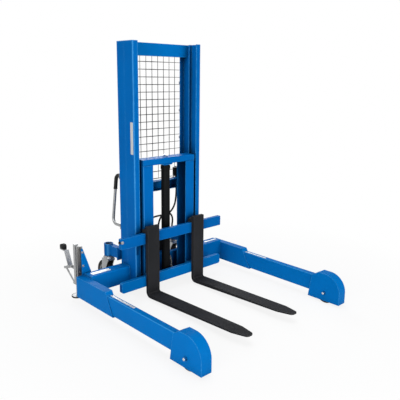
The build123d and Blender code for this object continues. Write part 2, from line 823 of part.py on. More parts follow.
def hose_fittings():
    """Crimped hose ends at the pump, the tank, the valve and the cylinder."""
    long = fitting_length
    pump_end = rod_z(*pump_port, pump_port[2] + long, fitting_radius)
    tank_end = rod_z(*tank_port[:2], tank_top, tank_top + long, fitting_radius)
    valve_end = rod_z(*valve_port[:2], valve_z - long, valve_z, fitting_radius)
    lift_end = rod_z(*cylinder_port, cylinder_port[2] + long, fitting_radius)
    return [pump_end, tank_end, valve_end, lift_end]


def lock_body():
    """Floor lock's flange, rib, square guide and the lug that holds the lever's pivot pin."""
    half = lock_guide / 2
    flange_rear = plate_rear + lock_flange
    flange = block(lock_x - lock_flange_left, lock_x + lock_flange_right, plate_rear, flange_rear,
                   lock_flange_bottom, lock_flange_top)
    rib = block(lock_x - lock_rib, lock_x + lock_rib, flange_rear, lock_y - half,
                lock_guide_bottom, lock_guide_top - lock_rib)
    guide = block(lock_x - half, lock_x + half, lock_y - half, lock_y + half,
                  lock_guide_bottom, lock_guide_top)
    guide -= rod_z(lock_x, lock_y, lock_guide_bottom, lock_guide_top - lock_rib, lock_rod + clamp_clearance)
    y, z = lock_pivot
    lug = block(lock_x - lock_lug, lock_x + lock_lug, lock_y + half, y, z - 15, z + 15)
    lug += rod_x(lock_x - lock_lug, lock_x + lock_lug, y, z, 15)
    pin = 2 * lock_lug
    return flange + rib + guide + lug + rod_x(lock_x - pin, lock_x + pin, y, z, 6)


def lock_lever():
    """Foot lever: two cheeks from the pivot to the link's pin, a flat arm and its tread."""
    near = lock_lug + 1
    far = near + lock_cheek
    x0 = lock_x - lock_arm_half
    x1 = lock_x + lock_arm_half
    y, z = lock_arm_top
    half = lock_arm_thick / 2
    lever = rod_x(lock_x - far, lock_x + far, *lock_crank, 5)
    for x in (lock_x - far, lock_x + near):
        cheek = strap(lock_pivot, lock_crank, 20, x, x + lock_cheek)
        lever += cheek - rod_x(x, x + lock_cheek, *lock_pivot, 6 + run_gap)
    lever += strap(lock_arm_foot, lock_arm_top, lock_arm_thick, x0, x1)
    return lever + block(x0, x1, y, lock_tread_rear, z - half, z + half)


def lock_pad():
    """Rubber pad on the foot lever's tread."""
    bottom = lock_arm_top[1] + lock_arm_thick / 2
    pad = block(lock_x - lock_pad_half, lock_x + lock_pad_half, lock_tread_rear - lock_pad_length,
                lock_tread_rear, bottom, bottom + lock_pad_height)
    return fillet(pad.edges().filter_by(Axis.Z) + pad.faces().sort_by(Axis.Z)[-1].edges(), 6)


def lock_link():
    """Link from the lever to the plunger; its lower eye has room for the opened loop."""
    x0 = lock_x - 3
    x1 = lock_x + 3
    link = strap(lock_crank, lock_pin, 18, x0, x1) + rod_x(x0, x1, *lock_pin, 12)
    link -= rod_x(x0, x1, *lock_crank, 5 + run_gap)
    return link - rod_x(x0, x1, *lock_pin, 5 + lock_eye_room)


def lock_plunger():
    """Plunger with its foot and the clevis and pin that take the link."""
    sole = lock_foot_z + lock_foot_thick
    plunger = rod_z(lock_x, lock_y, sole, lock_guide_top - 60, lock_rod)
    plunger += fillet(rod_z(lock_x, lock_y, lock_foot_z, sole, lock_foot).edges(), 4)
    for x in (lock_x - lock_lug, lock_x + lock_lug - lock_cheek):
        plunger += strap((lock_y, lock_pin[1]), lock_pin, 18, x, x + lock_cheek)
    return plunger + rod_x(lock_x - lock_lug, lock_x + lock_lug, *lock_pin, 5)


def save(name, *shapes):
    """Write one named piece, or a group of like pieces, in the part's frame."""
    moved = [Pos(0, mast_shift, 0) * shape for shape in shapes]
    export_step(moved[0] if len(moved) == 1 else Compound(children=moved), f"parts/{name}.step")


def save_pair(name, shape):
    """Write a piece for the right side and its mirror image for the left."""
    save(name.format("right"), shape)
    save(name.format("left"), mirrored(shape))


os.makedirs("parts", exist_ok=True)

save_pair("mast_{}_upright", upright())
save("mast_base_beam", base_beam())
save("mast_crossmembers", *crossmembers())
save("mesh_guard", mesh_guard())
save_pair("leg_socket_{}", leg_socket())
save_pair("leg_clamp_{}", leg_clamp())
save_pair("caster_arm_{}", caster_arm())
save("push_handle", mirrored(push_handle()))
save("handle_grip", mirrored(handle_grip()))
save("cylinder_barrel", barrel())
save("cylinder_stage", stage())
save("cylinder_rod", lift_rod())

save_pair("carriage_{}_post", carriage_post())
save("carriage_top_bar", carriage_top_bar())
save("fork_bar_upper", fork_bar(upper_bar_z, upper_bar_corner))
save("fork_bar_lower", fork_bar(lower_bar_z, lower_bar_corner))
save("roller_axles", *roller_axles())
for level, height in zip(("lower", "upper"), roller_heights):
    save_pair("carriage_roller_{}_" + level, carriage_roller(height))
save("fork_right", Pos(fork_x, 0, 0) * fork())
save("fork_left", Pos(-fork_x, 0, 0) * fork())
save_pair("fork_clamp_{}", Pos(fork_x, 0, 0) * mirrored(fork_clamp()))

save("leg_right_sleeve", leg_sleeve(end_plate()))
save("leg_left_sleeve", mirrored(leg_sleeve(lock_mount_plate())))
save_pair("leg_{}_arm", leg_arm())
save_pair("leg_{}_axle", leg_axle())
load_place = Pos(leg_x, load_axle_y, load_radius)
save_pair("load_{}_hub", load_place * hub(load_hub, load_bore, load_width, 10))
save_pair("load_{}_tyre", load_place * tyre(load_radius, load_hub, load_width, 6))

caster_place = Pos(caster_x, caster_axle, caster_radius)
save_pair("caster_{}_fork", caster_fork())
save_pair("caster_{}_hub", caster_place * hub(caster_hub, caster_bore, caster_width, 12))
save_pair("caster_{}_tyre", caster_place * tyre(caster_radius, caster_hub, caster_width, 14))

save("pump_shelf", pump_shelf())
save("pump_unit", pump_unit())
save("pump_pedal", pump_pedal())
save("control_valve", control_valve())
save("valve_lever", valve_lever())
save("hose_lift", hose(lift_route))
save("hose_control", hose(control_route))
save("hose_fittings", *hose_fittings())

save("floor_lock_body", lock_body())
save("floor_lock_lever", lock_lever())
save("floor_lock_pad", lock_pad())
save("floor_lock_link", lock_link())
save("floor_lock_plunger", lock_plunger())
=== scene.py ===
import json
import math

import bmesh
import bpy
from mathutils import Matrix, Vector


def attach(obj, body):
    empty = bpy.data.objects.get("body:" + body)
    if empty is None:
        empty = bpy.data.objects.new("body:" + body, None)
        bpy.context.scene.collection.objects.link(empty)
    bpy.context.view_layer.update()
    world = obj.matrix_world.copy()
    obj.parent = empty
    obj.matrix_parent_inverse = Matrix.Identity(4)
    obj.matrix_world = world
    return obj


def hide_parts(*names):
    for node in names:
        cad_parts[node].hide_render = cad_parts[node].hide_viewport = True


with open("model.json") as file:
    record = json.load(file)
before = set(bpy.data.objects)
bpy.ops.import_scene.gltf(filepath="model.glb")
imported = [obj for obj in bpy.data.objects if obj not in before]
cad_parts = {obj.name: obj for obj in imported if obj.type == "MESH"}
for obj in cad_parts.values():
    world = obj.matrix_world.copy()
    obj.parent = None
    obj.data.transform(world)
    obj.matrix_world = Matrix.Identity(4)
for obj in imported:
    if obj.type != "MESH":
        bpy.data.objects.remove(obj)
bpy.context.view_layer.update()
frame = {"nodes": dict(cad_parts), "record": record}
nodes = frame["nodes"]

# Places are millimetres of the part's source, whose Y counts from the mast's front face.
# A pair is (y, z), unless its section says otherwise.
MM = 0.001
MAST_SHIFT = 360
SIDES = (("left", -1), ("right", 1))
LEFT = (-1, 0, 0)
RIGHT = (1, 0, 0)
FRONT = (0, -1, 0)
BACK = (0, 1, 0)
UP = (0, 0, 1)
SIDE_FACE = 356
MAST_REAR = 216
LIFT_Y = 46
CARRIAGE_FRONT = -14
BAR_FRONT = -76
BAR_REAR = -44
FORK_X = 252
LEG_X = 757.5
LEG_HALF = 25.5
LEG_TOP = 207
SOCKET_TOP = 252
SLEEVE_REAR = 208
LOAD_AXLE = (-1120, 90)
CASTER_X = 367
CASTER_AXLE = (430, 110)
KING_PIN_Y = 385
HANDLE_X = -336
HANDLE_BOTTOM = 568
HANDLE_TOP = 1000
LOCK_X = -757


def at(x, y, z):
    """A point of the part's source as a point of the frame, in metres."""
    return Vector((x, y + MAST_SHIFT, z)) * MM


# Camera at the photograph's viewing angle, turned in degrees.
CAMERA_PLACE = (-2762, -3311, 1796)
CAMERA_HEADING = -43.34
CAMERA_TILT = 78.10
CAMERA_ROLL = 0.55
view = bpy.data.cameras.new("photo_view")
view.lens = 46.62
view.sensor_width = 36
view.shift_y = -0.03
camera = bpy.data.objects.new("photo_view", view)
camera.matrix_world = (Matrix.Translation(at(*CAMERA_PLACE))
                       @ Matrix.Rotation(math.radians(CAMERA_HEADING), 4, "Z")
                       @ Matrix.Rotation(math.radians(CAMERA_TILT), 4, "X")
                       @ Matrix.Rotation(math.radians(CAMERA_ROLL), 4, "Z"))
bpy.context.scene.collection.objects.link(camera)
bpy.context.scene.camera = camera
bpy.context.scene.view_settings.view_transform = "Standard"


# Node helpers for materials and the world, and the sockets of a mix of colours.
MIX_FACTOR = 0
MIX_FIRST = 6
MIX_SECOND = 7
MIX_RESULT = 2
BEVEL_SAMPLES = 4


def join(mat, value, socket):
    """Set a socket to a value, or link another socket to it."""
    if isinstance(value, bpy.types.NodeSocket):
        mat.node_tree.links.new(value, socket)
    else:
        socket.default_value = value


def node(mat, kind, inputs=None, **settings):
    """Add a node with its settings and inputs."""
    made = mat.node_tree.nodes.new(kind)
    for key, value in settings.items():
        setattr(made, key, value)
    for key, value in (inputs or {}).items():
        join(mat, value, made.inputs[key])
    return made


def srgb(red, green, blue):
    """Colour from 0-255 screen values."""
    def linear(value):
        value /= 255
        return value / 12.92 if value < 0.04045 else ((value + 0.055) / 1.055) ** 2.4
    return (linear(red), linear(green), linear(blue), 1)


def material(name, roughness, metallic=0, **sockets):
    """New material with its shader's plain sockets set."""
    mat = bpy.data.materials.new(name)
    mat.use_nodes = True
    shader = mat.node_tree.nodes["Principled BSDF"]
    shader.inputs["Roughness"].default_value = roughness
    shader.inputs["Metallic"].default_value = metallic
    for key, value in sockets.items():
        shader.inputs[key.replace("_", " ")].default_value = value
    return mat, shader


def noise(mat, waves, detail, stretch=(1, 1, 1)):
    """Noise over the object, in waves per metre."""
    place = node(mat, "ShaderNodeTexCoord").outputs["Object"]
    if stretch != (1, 1, 1):
        place = node(mat, "ShaderNodeMapping", {"Vector": place, "Scale": stretch}).outputs[0]
    inputs = {"Vector": place, "Scale": waves, "Detail": detail}
    return node(mat, "ShaderNodeTexNoise", inputs).outputs["Fac"]


def ramp(mat, factor, *stops):
    """Colour ramp from pairs of place and colour."""
    made = node(mat, "ShaderNodeValToRGB", {"Fac": factor})
    row = made.color_ramp.elements
    while len(row) < len(stops):
        row.new(0.5)
    for element, (place, colour) in zip(row, stops):
        element.position = place
        element.color = colour if isinstance(colour, tuple) else (colour, colour, colour, 1)
    return made.outputs["Color"]


def mix(mat, factor, first, second, kind="MIX"):
    """Mix of two colours."""
    made = node(mat, "ShaderNodeMix", data_type="RGBA", blend_type=kind)
    for index, value in ((MIX_FACTOR, factor), (MIX_FIRST, first), (MIX_SECOND, second)):
        join(mat, value, made.inputs[index])
    return made.outputs[MIX_RESULT]


def rounded(mat, radius):
    """Surface direction with the edges rounded by a radius in metres."""
    return node(mat, "ShaderNodeBevel", {"Radius": radius}, samples=BEVEL_SAMPLES).outputs[0]


def edge_mask(mat, radius, low, high):
    """White along sharp edges, black on flat faces."""
    flat = node(mat, "ShaderNodeNewGeometry").outputs["Normal"]
    inputs = {0: rounded(mat, radius), 1: flat}
    turn = node(mat, "ShaderNodeVectorMath", inputs, operation="DOT_PRODUCT").outputs["Value"]
    return ramp(mat, turn, (low, 1.0), (high, 0.0))


def corner_highlight_mask(mat):
    """White where the surface turns halfway from the X axis, as on rounded corners that turn from a side
    face to another face, black elsewhere; paint() lays a painted highlight there.
    """
    facing = node(mat, "ShaderNodeTexCoord").outputs["Normal"]
    sideways = node(mat, "ShaderNodeSeparateXYZ", {0: facing}).outputs["X"]
    inputs = {0: sideways, 1: sideways}
    squared = node(mat, "ShaderNodeMath", inputs, operation="MULTIPLY").outputs[0]
    return ramp(mat, squared, (0.1, 0.0), (0.5, 1.0), (0.9, 0.0))


def bump(mat, shader, height, strength, depth, radius):
    """Bump of a depth from a height, over edges rounded by a radius; both in metres."""
    inputs = {"Height": height, "Strength": strength, "Distance": depth, "Normal": rounded(mat, radius)}
    join(mat, node(mat, "ShaderNodeBump", inputs).outputs[0], shader.inputs["Normal"])


def paint(name, dark, light, edge, roughness, gloss, painted_recess_shade=0.2, reach=0.006, corner=0.6):
    """Sprayed enamel: slow tone changes, lighter edges that are partly thinner worn paint and partly a
    painted highlight, a painted highlight on rounded corners, a few scuffs, and painted shade that
    darkens recesses.
    """
    mat, shader = material(name, roughness, Specular_IOR_Level=gloss)
    tone = ramp(mat, noise(mat, waves=2.2, detail=4), (0.3, dark), (0.7, light))
    # Lighter edges: partly worn, thinner paint and partly a painted highlight along the edges.
    wear_and_highlight = ramp(mat, noise(mat, waves=38, detail=6), (0.35, 0.3), (0.7, 0.85))
    worn_and_highlit = mix(mat, wear_and_highlight, tone, edge)
    colour = mix(mat, edge_mask(mat, reach, low=0.84, high=0.985), tone, worn_and_highlit)
    # Painted highlight: the edge colour laid on faces half turned from the X axis, as on rounded corners.
    corner_highlight = mix(mat, corner, colour, edge)
    colour = mix(mat, corner_highlight_mask(mat), colour, corner_highlight)
    scuff = ramp(mat, noise(mat, waves=60, detail=8, stretch=(1, 1, 0.12)), (0.7, 0.0), (0.78, 0.22))
    colour = mix(mat, scuff, colour, edge)
    # Painted shade: ambient occlusion darkens the colour in recesses and near other parts.
    openness = node(mat, "ShaderNodeAmbientOcclusion", {"Distance": 0.16}, samples=6).outputs["AO"]
    shade = ramp(mat, openness, (0.35, painted_recess_shade), (0.72, 1.0))
    join(mat, mix(mat, 1.0, colour, shade, "MULTIPLY"), shader.inputs["Base Color"])
    sheen = ramp(mat, noise(mat, waves=9, detail=5), (0.3, roughness - 0.05), (0.75, roughness + 0.12))
    join(mat, sheen, shader.inputs["Roughness"])
    bump(mat, shader, noise(mat, waves=420, detail=2), strength=0.05, depth=0.0006, radius=0.0022)
    return mat


def metal(name, dark, light, roughness, grain=(1, 1, 1), waves=160, strength=0.12):
    """Bare or plated metal with a grain and small stains."""
    mat, shader = material(name, roughness, metallic=1)
    streak = noise(mat, waves, detail=6, stretch=grain)
    tone = ramp(mat, streak, (0.3, dark), (0.7, light))
    stain = ramp(mat, noise(mat, waves=14, detail=6), (0.55, 0.0), (0.8, 0.5))
    join(mat, mix(mat, stain, tone, dark), shader.inputs["Base Color"])
    smooth = max(roughness - 0.1, 0.04)
    sheen = ramp(mat, noise(mat, waves=25, detail=6), (0.3, smooth), (0.75, roughness + 0.15))
    join(mat, sheen, shader.inputs["Roughness"])
    bump(mat, shader, streak, strength, depth=0.0004, radius=0.0012)
    return mat


def rubber(name, dark, light, roughness, strength=0.25):
    """Moulded rubber or plastic with a fine grain and dusty high spots."""
    mat, shader = material(name, roughness, Specular_IOR_Level=0.2)
    tone = ramp(mat, noise(mat, waves=18, detail=6), (0.35, dark), (0.8, light))
    colour = mix(mat, edge_mask(mat, radius=0.002, low=0.86, high=0.985), tone, light)
    join(mat, colour, shader.inputs["Base Color"])
    sheen = ramp(mat, noise(mat, waves=45, detail=4), (0.3, roughness - 0.08), (0.7, roughness + 0.1))
    join(mat, sheen, shader.inputs["Roughness"])
    bump(mat, shader, noise(mat, waves=900, detail=2), strength, depth=0.0004, radius=0.001)
    return mat


# Blue paint. Its edge colour is the colour of worn, thinner paint and also of the painted highlights on
# edges and rounded corners.
BLUE = {"dark": srgb(0, 95, 170), "light": srgb(0, 103, 181), "edge": srgb(78, 164, 220),
        "roughness": 0.36, "gloss": 0.02}
finishes = {
    "blue_paint": paint("blue_paint", **BLUE),
    "fork_black": paint("fork_black", srgb(36, 37, 39), srgb(48, 48, 50), srgb(82, 82, 82),
                        roughness=0.55, gloss=0.035),
    "mesh_grey": paint("mesh_grey", srgb(26, 29, 31), srgb(36, 39, 41), srgb(44, 47, 49),
                       roughness=0.55, gloss=0.02),
    "cylinder_black": paint("cylinder_black", srgb(18, 19, 20), srgb(25, 26, 27), srgb(58, 58, 58),
                            roughness=0.5, gloss=0.03, corner=0.1),
    "polished_steel": metal("polished_steel", srgb(190, 191, 193), srgb(214, 215, 216),
                            roughness=0.12, grain=(1, 1, 8), waves=90, strength=0.03),
    "zinc_steel": metal("zinc_steel", srgb(142, 143, 144), srgb(172, 173, 174), roughness=0.36),
    "roller_steel": metal("roller_steel", srgb(70, 69, 68), srgb(112, 111, 109), roughness=0.48),
    "tyre_black": rubber("tyre_black", srgb(16, 16, 16), srgb(36, 35, 34), roughness=0.62),
    "hub_grey": metal("hub_grey", srgb(112, 113, 114), srgb(150, 151, 152),
                      roughness=0.5, waves=220, strength=0.3),
    "handle_grey": metal("handle_grey", srgb(128, 130, 131), srgb(170, 171, 172),
                         roughness=0.32, grain=(1, 1, 6), waves=120),
    "rubber_black": rubber("rubber_black", srgb(20, 20, 20), srgb(40, 40, 39), roughness=0.55),
    "black_plastic": rubber("black_plastic", srgb(22, 22, 23), srgb(40, 40, 41),
                            roughness=0.42, strength=0.12),
}
blank_plate = metal("blank_plate", srgb(182, 185, 186), srgb(202, 204, 205),
                    roughness=0.5, grain=(1, 8, 8), waves=200, strength=0.05)
# Darker copy of the blue for the painted shade on the front flanges.
shadow_blue = paint("shadow_blue", srgb(0, 62, 118), srgb(0, 70, 130), srgb(20, 90, 150),
                  roughness=0.5, gloss=0.02)

# Wider painted highlights along the uprights' edges, and on the listed pieces a lighter, slightly greener
# copy of the blue with weaker painted recess shade, as painted light.
UPRIGHTS = ("mast_left_upright", "mast_right_upright")
BRIGHTENED_PIECES = ("mast_crossmembers", "leg_socket_left", "leg_socket_right", "leg_left_sleeve",
               "leg_right_sleeve", "leg_left_arm", "leg_right_arm", "fork_bar_lower")
upright_highlit_blue = paint("upright_highlit_blue", **BLUE, reach=0.015)
brightened_blue = paint("brightened_blue", srgb(0, 103, 176), srgb(0, 111, 188), srgb(86, 170, 222),
                  roughness=0.36, gloss=0.02, painted_recess_shade=0.6)
own_finish = dict.fromkeys(UPRIGHTS, upright_highlit_blue) | dict.fromkeys(BRIGHTENED_PIECES, brightened_blue)
for row in frame["record"]["subparts"]:
    for place in nodes[row["node"]].material_slots:
        place.material = own_finish.get(row["node"], finishes[row["material_slot"]])


def keep(piece, body, slot, *stands_for, finish=None):
    """Let a piece ride on a body with a finish, in place of the nodes that it stands for."""
    bpy.context.scene.collection.objects.link(piece)
    piece.data.materials.append(finish or finishes[slot])
    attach(piece, body)
    if stands_for:
        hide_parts(*stands_for)
    return piece


# Hoses: each one is a smooth spline on the route's own points.
HOSE_RADIUS = 8
lift_route = [(252, 262, 409), (252, 262, 455), (249, 246, 508), (226, 230, 562), (180, 222, 601),
              (126, 220, 604), (82, 219, 570), (55, 216, 516), (47, 206, 458), (50, 178, 405),
              (57, 144, 358), (61, 108, 312), (63, 74, 264), (63, 46, 205), (63, 46, 159)]
control_route = [(290, 243, 904), (290, 243, 858), (289, 241, 780), (285, 244, 710), (277, 249, 655),
                 (250, 254, 607), (207, 254, 580), (144, 254, 574), (86, 254, 577), (28, 256, 573),
                 (-26, 265, 555), (-69, 280, 520), (-100, 295, 472), (-100, 295, 426)]


def hose(name, route, stands_for):
    """Hydraulic hose on its route between two fittings."""
    data = bpy.data.curves.new(name, "CURVE")
    data.dimensions = "3D"
    line = data.splines.new("NURBS")
    line.points.add(len(route) - 1)
    for point, place in zip(line.points, route):
        point.co = (*at(*place), 1)
    line.order_u = 3
    line.use_endpoint_u = True
    data.resolution_u = 12
    data.bevel_depth = HOSE_RADIUS * MM
    data.bevel_resolution = 5
    data.use_fill_caps = True
    piece = keep(bpy.data.objects.new(name, data), "mast", "rubber_black", stands_for)


hose("lift_hose", lift_route, "hose_lift")
hose("control_hose", control_route, "hose_control")


# Mesh helpers. A shape is a bmesh that collects one piece's parts; sizes are in millimetres.
# A bolt's washer and head are shares of the bolt's own size, apart from how far they sink in.
WASHER_THICK = 0.12
WASHER_REACH = 1.35
WASHER_EDGE = 0.7
WASHER_TOP = 1.28
WASHER_SINK = 0.4
HEAD_HEIGHT = 0.55
HEAD_CHAMFER = 0.86
HEAD_SINK = 0.2
BEAD_PITCH = 3.5
BEAD_RIPPLE = 0.08
RUN_END = 0.55
PLATE_RIM = ((0, -0.2), (0, 0.7), (0.4, 1.0))
PLATE_CORNERS = ((1, 1, 0), (-1, 1, 90), (-1, -1, 180), (1, -1, 270))
CORNER_SHARE = 0.18
CORNER_LIMIT = 4
CORNER_STEPS = 3
RIVET = [(2.6, -0.2), (2.6, 0.4), (1.6, 1.1)]
RIVET_INSET = 7
RIVETED_WIDTH = 12


def finished(name, shape, sharp=32):
    """Object from a shape, smooth except at edges sharper than an angle in degrees."""
    bmesh.ops.recalc_face_normals(shape, faces=shape.faces)
    for face in shape.faces:
        face.smooth = True
    for edge in shape.edges:
        if len(edge.link_faces) == 2:
            edge.smooth = edge.calc_face_angle() < math.radians(sharp)
    data = bpy.data.meshes.new(name)
    shape.to_mesh(data)
    shape.free()
    return bpy.data.objects.new(name, data)


def skin(shape, rings, closed=False):
    """Faces between rings of points, capped at both ends or closed from the last ring to the first."""
    pairs = list(zip(rings, rings[1:]))
    if closed:
        pairs.append((rings[-1], rings[0]))
    else:
        shape.faces.new(rings[0][::-1])
        shape.faces.new(rings[-1])
    for low, high in pairs:
        for index in range(len(low)):
            after = (index + 1) % len(low)
            shape.faces.new((low[index], low[after], high[after], high[index]))


def ring(shape, centre, axis, radius, sides, flute=0.0):
    """Circle of points about an axis; a flute moves every other point in."""
    turn = Vector(axis).to_track_quat("Z", "Y")
    points = []
    for index in range(sides):
        angle = 2 * math.pi * (index + 0.5) / sides
        reach = radius * (1 - flute * (index % 2)) * MM
        way = turn @ Vector((math.cos(angle), math.sin(angle), 0))
        points.append(shape.verts.new(centre + way * reach))
    return points


def turned(shape, place, axis, profile, sides, closed=False, flute=0.0):
    """Turn a profile of (radius, height) pairs about an axis that starts at a place."""
    way = Vector(axis).normalized()
    rings = []
    for radius, height in profile:
        rings.append(ring(shape, place + way * height * MM, axis, radius, sides, flute))
    skin(shape, rings, closed)


def bolt(shape, place, axis, across, washer=True):
    """Hexagon bolt head with a chamfer, on a washer or bare."""
    radius = across / math.sqrt(3)
    base = across * WASHER_THICK if washer else 0
    if washer:
        rim = radius * WASHER_REACH
        profile = [(rim, -WASHER_SINK), (rim, base * WASHER_EDGE), (radius * WASHER_TOP, base)]
        turned(shape, place, axis, profile, sides=20)
    height = base + across * HEAD_HEIGHT
    profile = [(radius, -HEAD_SINK), (radius, height * HEAD_CHAMFER), (radius * HEAD_CHAMFER, height)]
    turned(shape, place, axis, profile, sides=6)


def slab(shape, low, high, bevel):
    """Block between two corners with rounded edges."""
    place = Matrix.Translation((low + high) / 2) @ Matrix.Diagonal((*(high - low), 1))
    made = bmesh.ops.create_cube(shape, size=1, matrix=place)
    edges = dict.fromkeys(edge for vert in made["verts"] for edge in vert.link_edges)
    bmesh.ops.bevel(shape, geom=list(edges), offset=bevel * MM, segments=2, profile=0.5, affect="EDGES")


def run(shape, start, end, radius, steps, ripple, sides):
    """Round run between two points, narrow at its ends, with a ripple in its radius."""
    rings = []
    for step in range(steps + 1):
        swell = radius * (1 + ripple * (-1) ** step) * (RUN_END if step in (0, steps) else 1)
        rings.append(ring(shape, start.lerp(end, step / steps), end - start, swell, sides))
    skin(shape, rings)


def bead(shape, *points, radius=3.2):
    """Weld bead along a line of points, rippled along its length."""
    for start, end in zip(points, points[1:]):
        steps = max(2, round((end - start).length / (BEAD_PITCH * MM)))
        run(shape, start, end, radius, steps, BEAD_RIPPLE, sides=6)


def bare_plate(shape, centre, along, across, length, width):
    """Thin blank plate with rounded corners, with a rivet near each end where it is wide enough."""
    along = Vector(along)
    across = Vector(across)
    up = along.cross(across)
    corner = min(width * CORNER_SHARE, CORNER_LIMIT)
    rings = []
    for inset, height in PLATE_RIM:
        row = []
        for end_sign, side_sign, first_angle in PLATE_CORNERS:
            for step in range(CORNER_STEPS + 1):
                angle = math.radians(first_angle + 90 / CORNER_STEPS * step)
                u = end_sign * (length / 2 - corner) + (corner - inset) * math.cos(angle)
                v = side_sign * (width / 2 - corner) + (corner - inset) * math.sin(angle)
                row.append(shape.verts.new(centre + (along * u + across * v + up * height) * MM))
        rings.append(row)
    skin(shape, rings)
    if width > RIVETED_WIDTH:
        for sign in (-1, 1):
            place = centre + (along * sign * (length / 2 - RIVET_INSET) + up) * MM
            turned(shape, place, up, RIVET, sides=12)


# Mesh guard of round wires, welded where they cross.
MESH_PITCH = 62.5
MESH_COLUMNS = 11
MESH_ROWS = 19
MESH_HALF = 315
MESH_BOTTOM = 930
MESH_TOP = 2060
FIRST_ROW = 2.5
MESH_Y = 219
WIRE_RADIUS = 3.4
ROW_Y = MESH_Y + 0.7 * WIRE_RADIUS
wire_form = {"radius": WIRE_RADIUS, "steps": 2, "ripple": 0, "sides": 8}
guard = bmesh.new()
for column in range(MESH_COLUMNS):
    x = MESH_PITCH * (column - (MESH_COLUMNS - 1) / 2)
    run(guard, at(x, MESH_Y, MESH_BOTTOM), at(x, MESH_Y, MESH_TOP), **wire_form)
for level in range(MESH_ROWS):
    z = MESH_BOTTOM + FIRST_ROW + MESH_PITCH * level
    run(guard, at(-MESH_HALF, ROW_Y, z), at(MESH_HALF, ROW_Y, z), **wire_form)
keep(finished("mesh_wires", guard), "mast", "mesh_grey", "mesh_guard")


# Ribbed rubber grip with a lip near each end, over the upper bend of the push handle.
HANDLE_LOW = Vector((352, HANDLE_BOTTOM))
HANDLE_HIGH = Vector((285, HANDLE_TOP))
HANDLE_END = Vector((223, HANDLE_TOP))
HANDLE_BEND = 45
GRIP_SHARE = 0.28
GRIP_END = 3
GRIP_INNER = 12.6
GRIP_OUTER = 15.4
GRIP_RIB = 1.2
GRIP_LIP = 17.4
GRIP_SIDES = 20
STRAIGHT_STEPS = 30
BEND_STEPS = 24


def grip_line():
    """Points along the grip in Y and Z, with the direction at each."""
    first = (HANDLE_HIGH - HANDLE_LOW).normalized()
    last = (HANDLE_END - HANDLE_HIGH).normalized()
    half_turn = first.angle(last) / 2
    cut = HANDLE_BEND * math.tan(half_turn)
    start = HANDLE_HIGH.lerp(HANDLE_LOW, GRIP_SHARE)
    arc_start = HANDLE_HIGH - first * cut
    centre = arc_start + Vector((-first.y, first.x)) * HANDLE_BEND
    line = []
    straight = (arc_start - start).length
    for step in range(STRAIGHT_STEPS):
        line.append((start + first * straight * step / STRAIGHT_STEPS, first))
    for step in range(BEND_STEPS + 1):
        angle = 2 * half_turn * step / BEND_STEPS
        way = Vector((first.x * math.cos(angle) - first.y * math.sin(angle),
                      first.x * math.sin(angle) + first.y * math.cos(angle)))
        line.append((centre + Vector((way.y, -way.x)) * HANDLE_BEND, way))
    line.append((HANDLE_END + Vector((GRIP_END, 0)), last))
    return line


grip = bmesh.new()
outer = []
inner = []
line = grip_line()
for index, (point, way) in enumerate(line):
    place = at(HANDLE_X, *point)
    swell = GRIP_LIP if index in (1, 2, len(line) - 2) else GRIP_OUTER + GRIP_RIB * (index % 3 == 0)
    outer.append(ring(grip, place, (0, way.x, way.y), swell, GRIP_SIDES))
    inner.append(ring(grip, place, (0, way.x, way.y), GRIP_INNER, GRIP_SIDES))
skin(grip, outer + inner[::-1], closed=True)
keep(finished("handle_grip_rubber", grip, sharp=50), "mast", "rubber_black", "handle_grip")


# Tyres with a stepped sidewall and a centre groove on the tread, and ribs on the casters' hubs.
ARC_STEPS = 6
RIB_COUNT = 6
RIB_FIRST_ANGLE = 12
RIB_FACE = 20
RIB_LOW = (-4, -3, 15)
RIB_HIGH = (4, 3, 61)


def tyre_profile(radius, inner, half, crown):
    """Closed profile of a tyre as (radius, height) pairs."""
    side = [(inner, -half + 1), (inner + 4, -half), (inner + 7, -half), (inner + 8.5, -half + 1.4),
            (radius - crown - 3, -half + 1.4), (radius - crown, -half)]
    arc = []
    for step in range(1, ARC_STEPS + 1):
        angle = math.radians(90 / ARC_STEPS * step)
        arc.append((radius - crown + crown * math.sin(angle), -half + crown - crown * math.cos(angle)))
    tread = [(radius, -3), (radius - 1.6, -1.8)]
    near = side + arc + tread
    return near + [(place, -height) for place, height in near[::-1]]


def hub_ribs(shape, centre):
    """Ribs on both faces of a caster's hub."""
    for face in (-1, 1):
        shift = Vector((face * RIB_FACE, 0, 0))
        for index in range(RIB_COUNT):
            turn = Matrix.Rotation(math.radians(360 / RIB_COUNT * index + RIB_FIRST_ANGLE), 4, "X")
            before = set(shape.verts)
            slab(shape, (shift + Vector(RIB_LOW)) * MM, (shift + Vector(RIB_HIGH)) * MM, bevel=1.2)
            made = [vert for vert in shape.verts if vert not in before]
            bmesh.ops.transform(shape, matrix=Matrix.Translation(centre) @ turn, verts=made)


for side, sign in SIDES:
    wheel = f"{side}_caster_wheel"
    centre = at(sign * CASTER_X, *CASTER_AXLE)
    tyre = bmesh.new()
    profile = tyre_profile(radius=110, inner=72, half=25, crown=12)
    turned(tyre, centre, RIGHT, profile, sides=72, closed=True)
    keep(finished(f"caster_{side}_rubber", tyre), wheel, "tyre_black", f"caster_{side}_tyre")
    tyre = bmesh.new()
    profile = tyre_profile(radius=90, inner=55, half=31, crown=5)
    turned(tyre, at(sign * LEG_X, *LOAD_AXLE), RIGHT, profile, sides=64, closed=True)
    keep(finished(f"load_{side}_rubber", tyre), f"{side}_load_wheel", "tyre_black", f"load_{side}_tyre")
    ribs = bmesh.new()
    hub_ribs(ribs, centre)
    keep(finished(f"caster_{side}_ribs", ribs), wheel, "hub_grey")


# Weld beads, one piece for each body. A bead's line lies a little off the edge that it fills.
BEAD_SHIFT = 1
WELD_SHARP = 60
CIRCLE_STEPS = 24


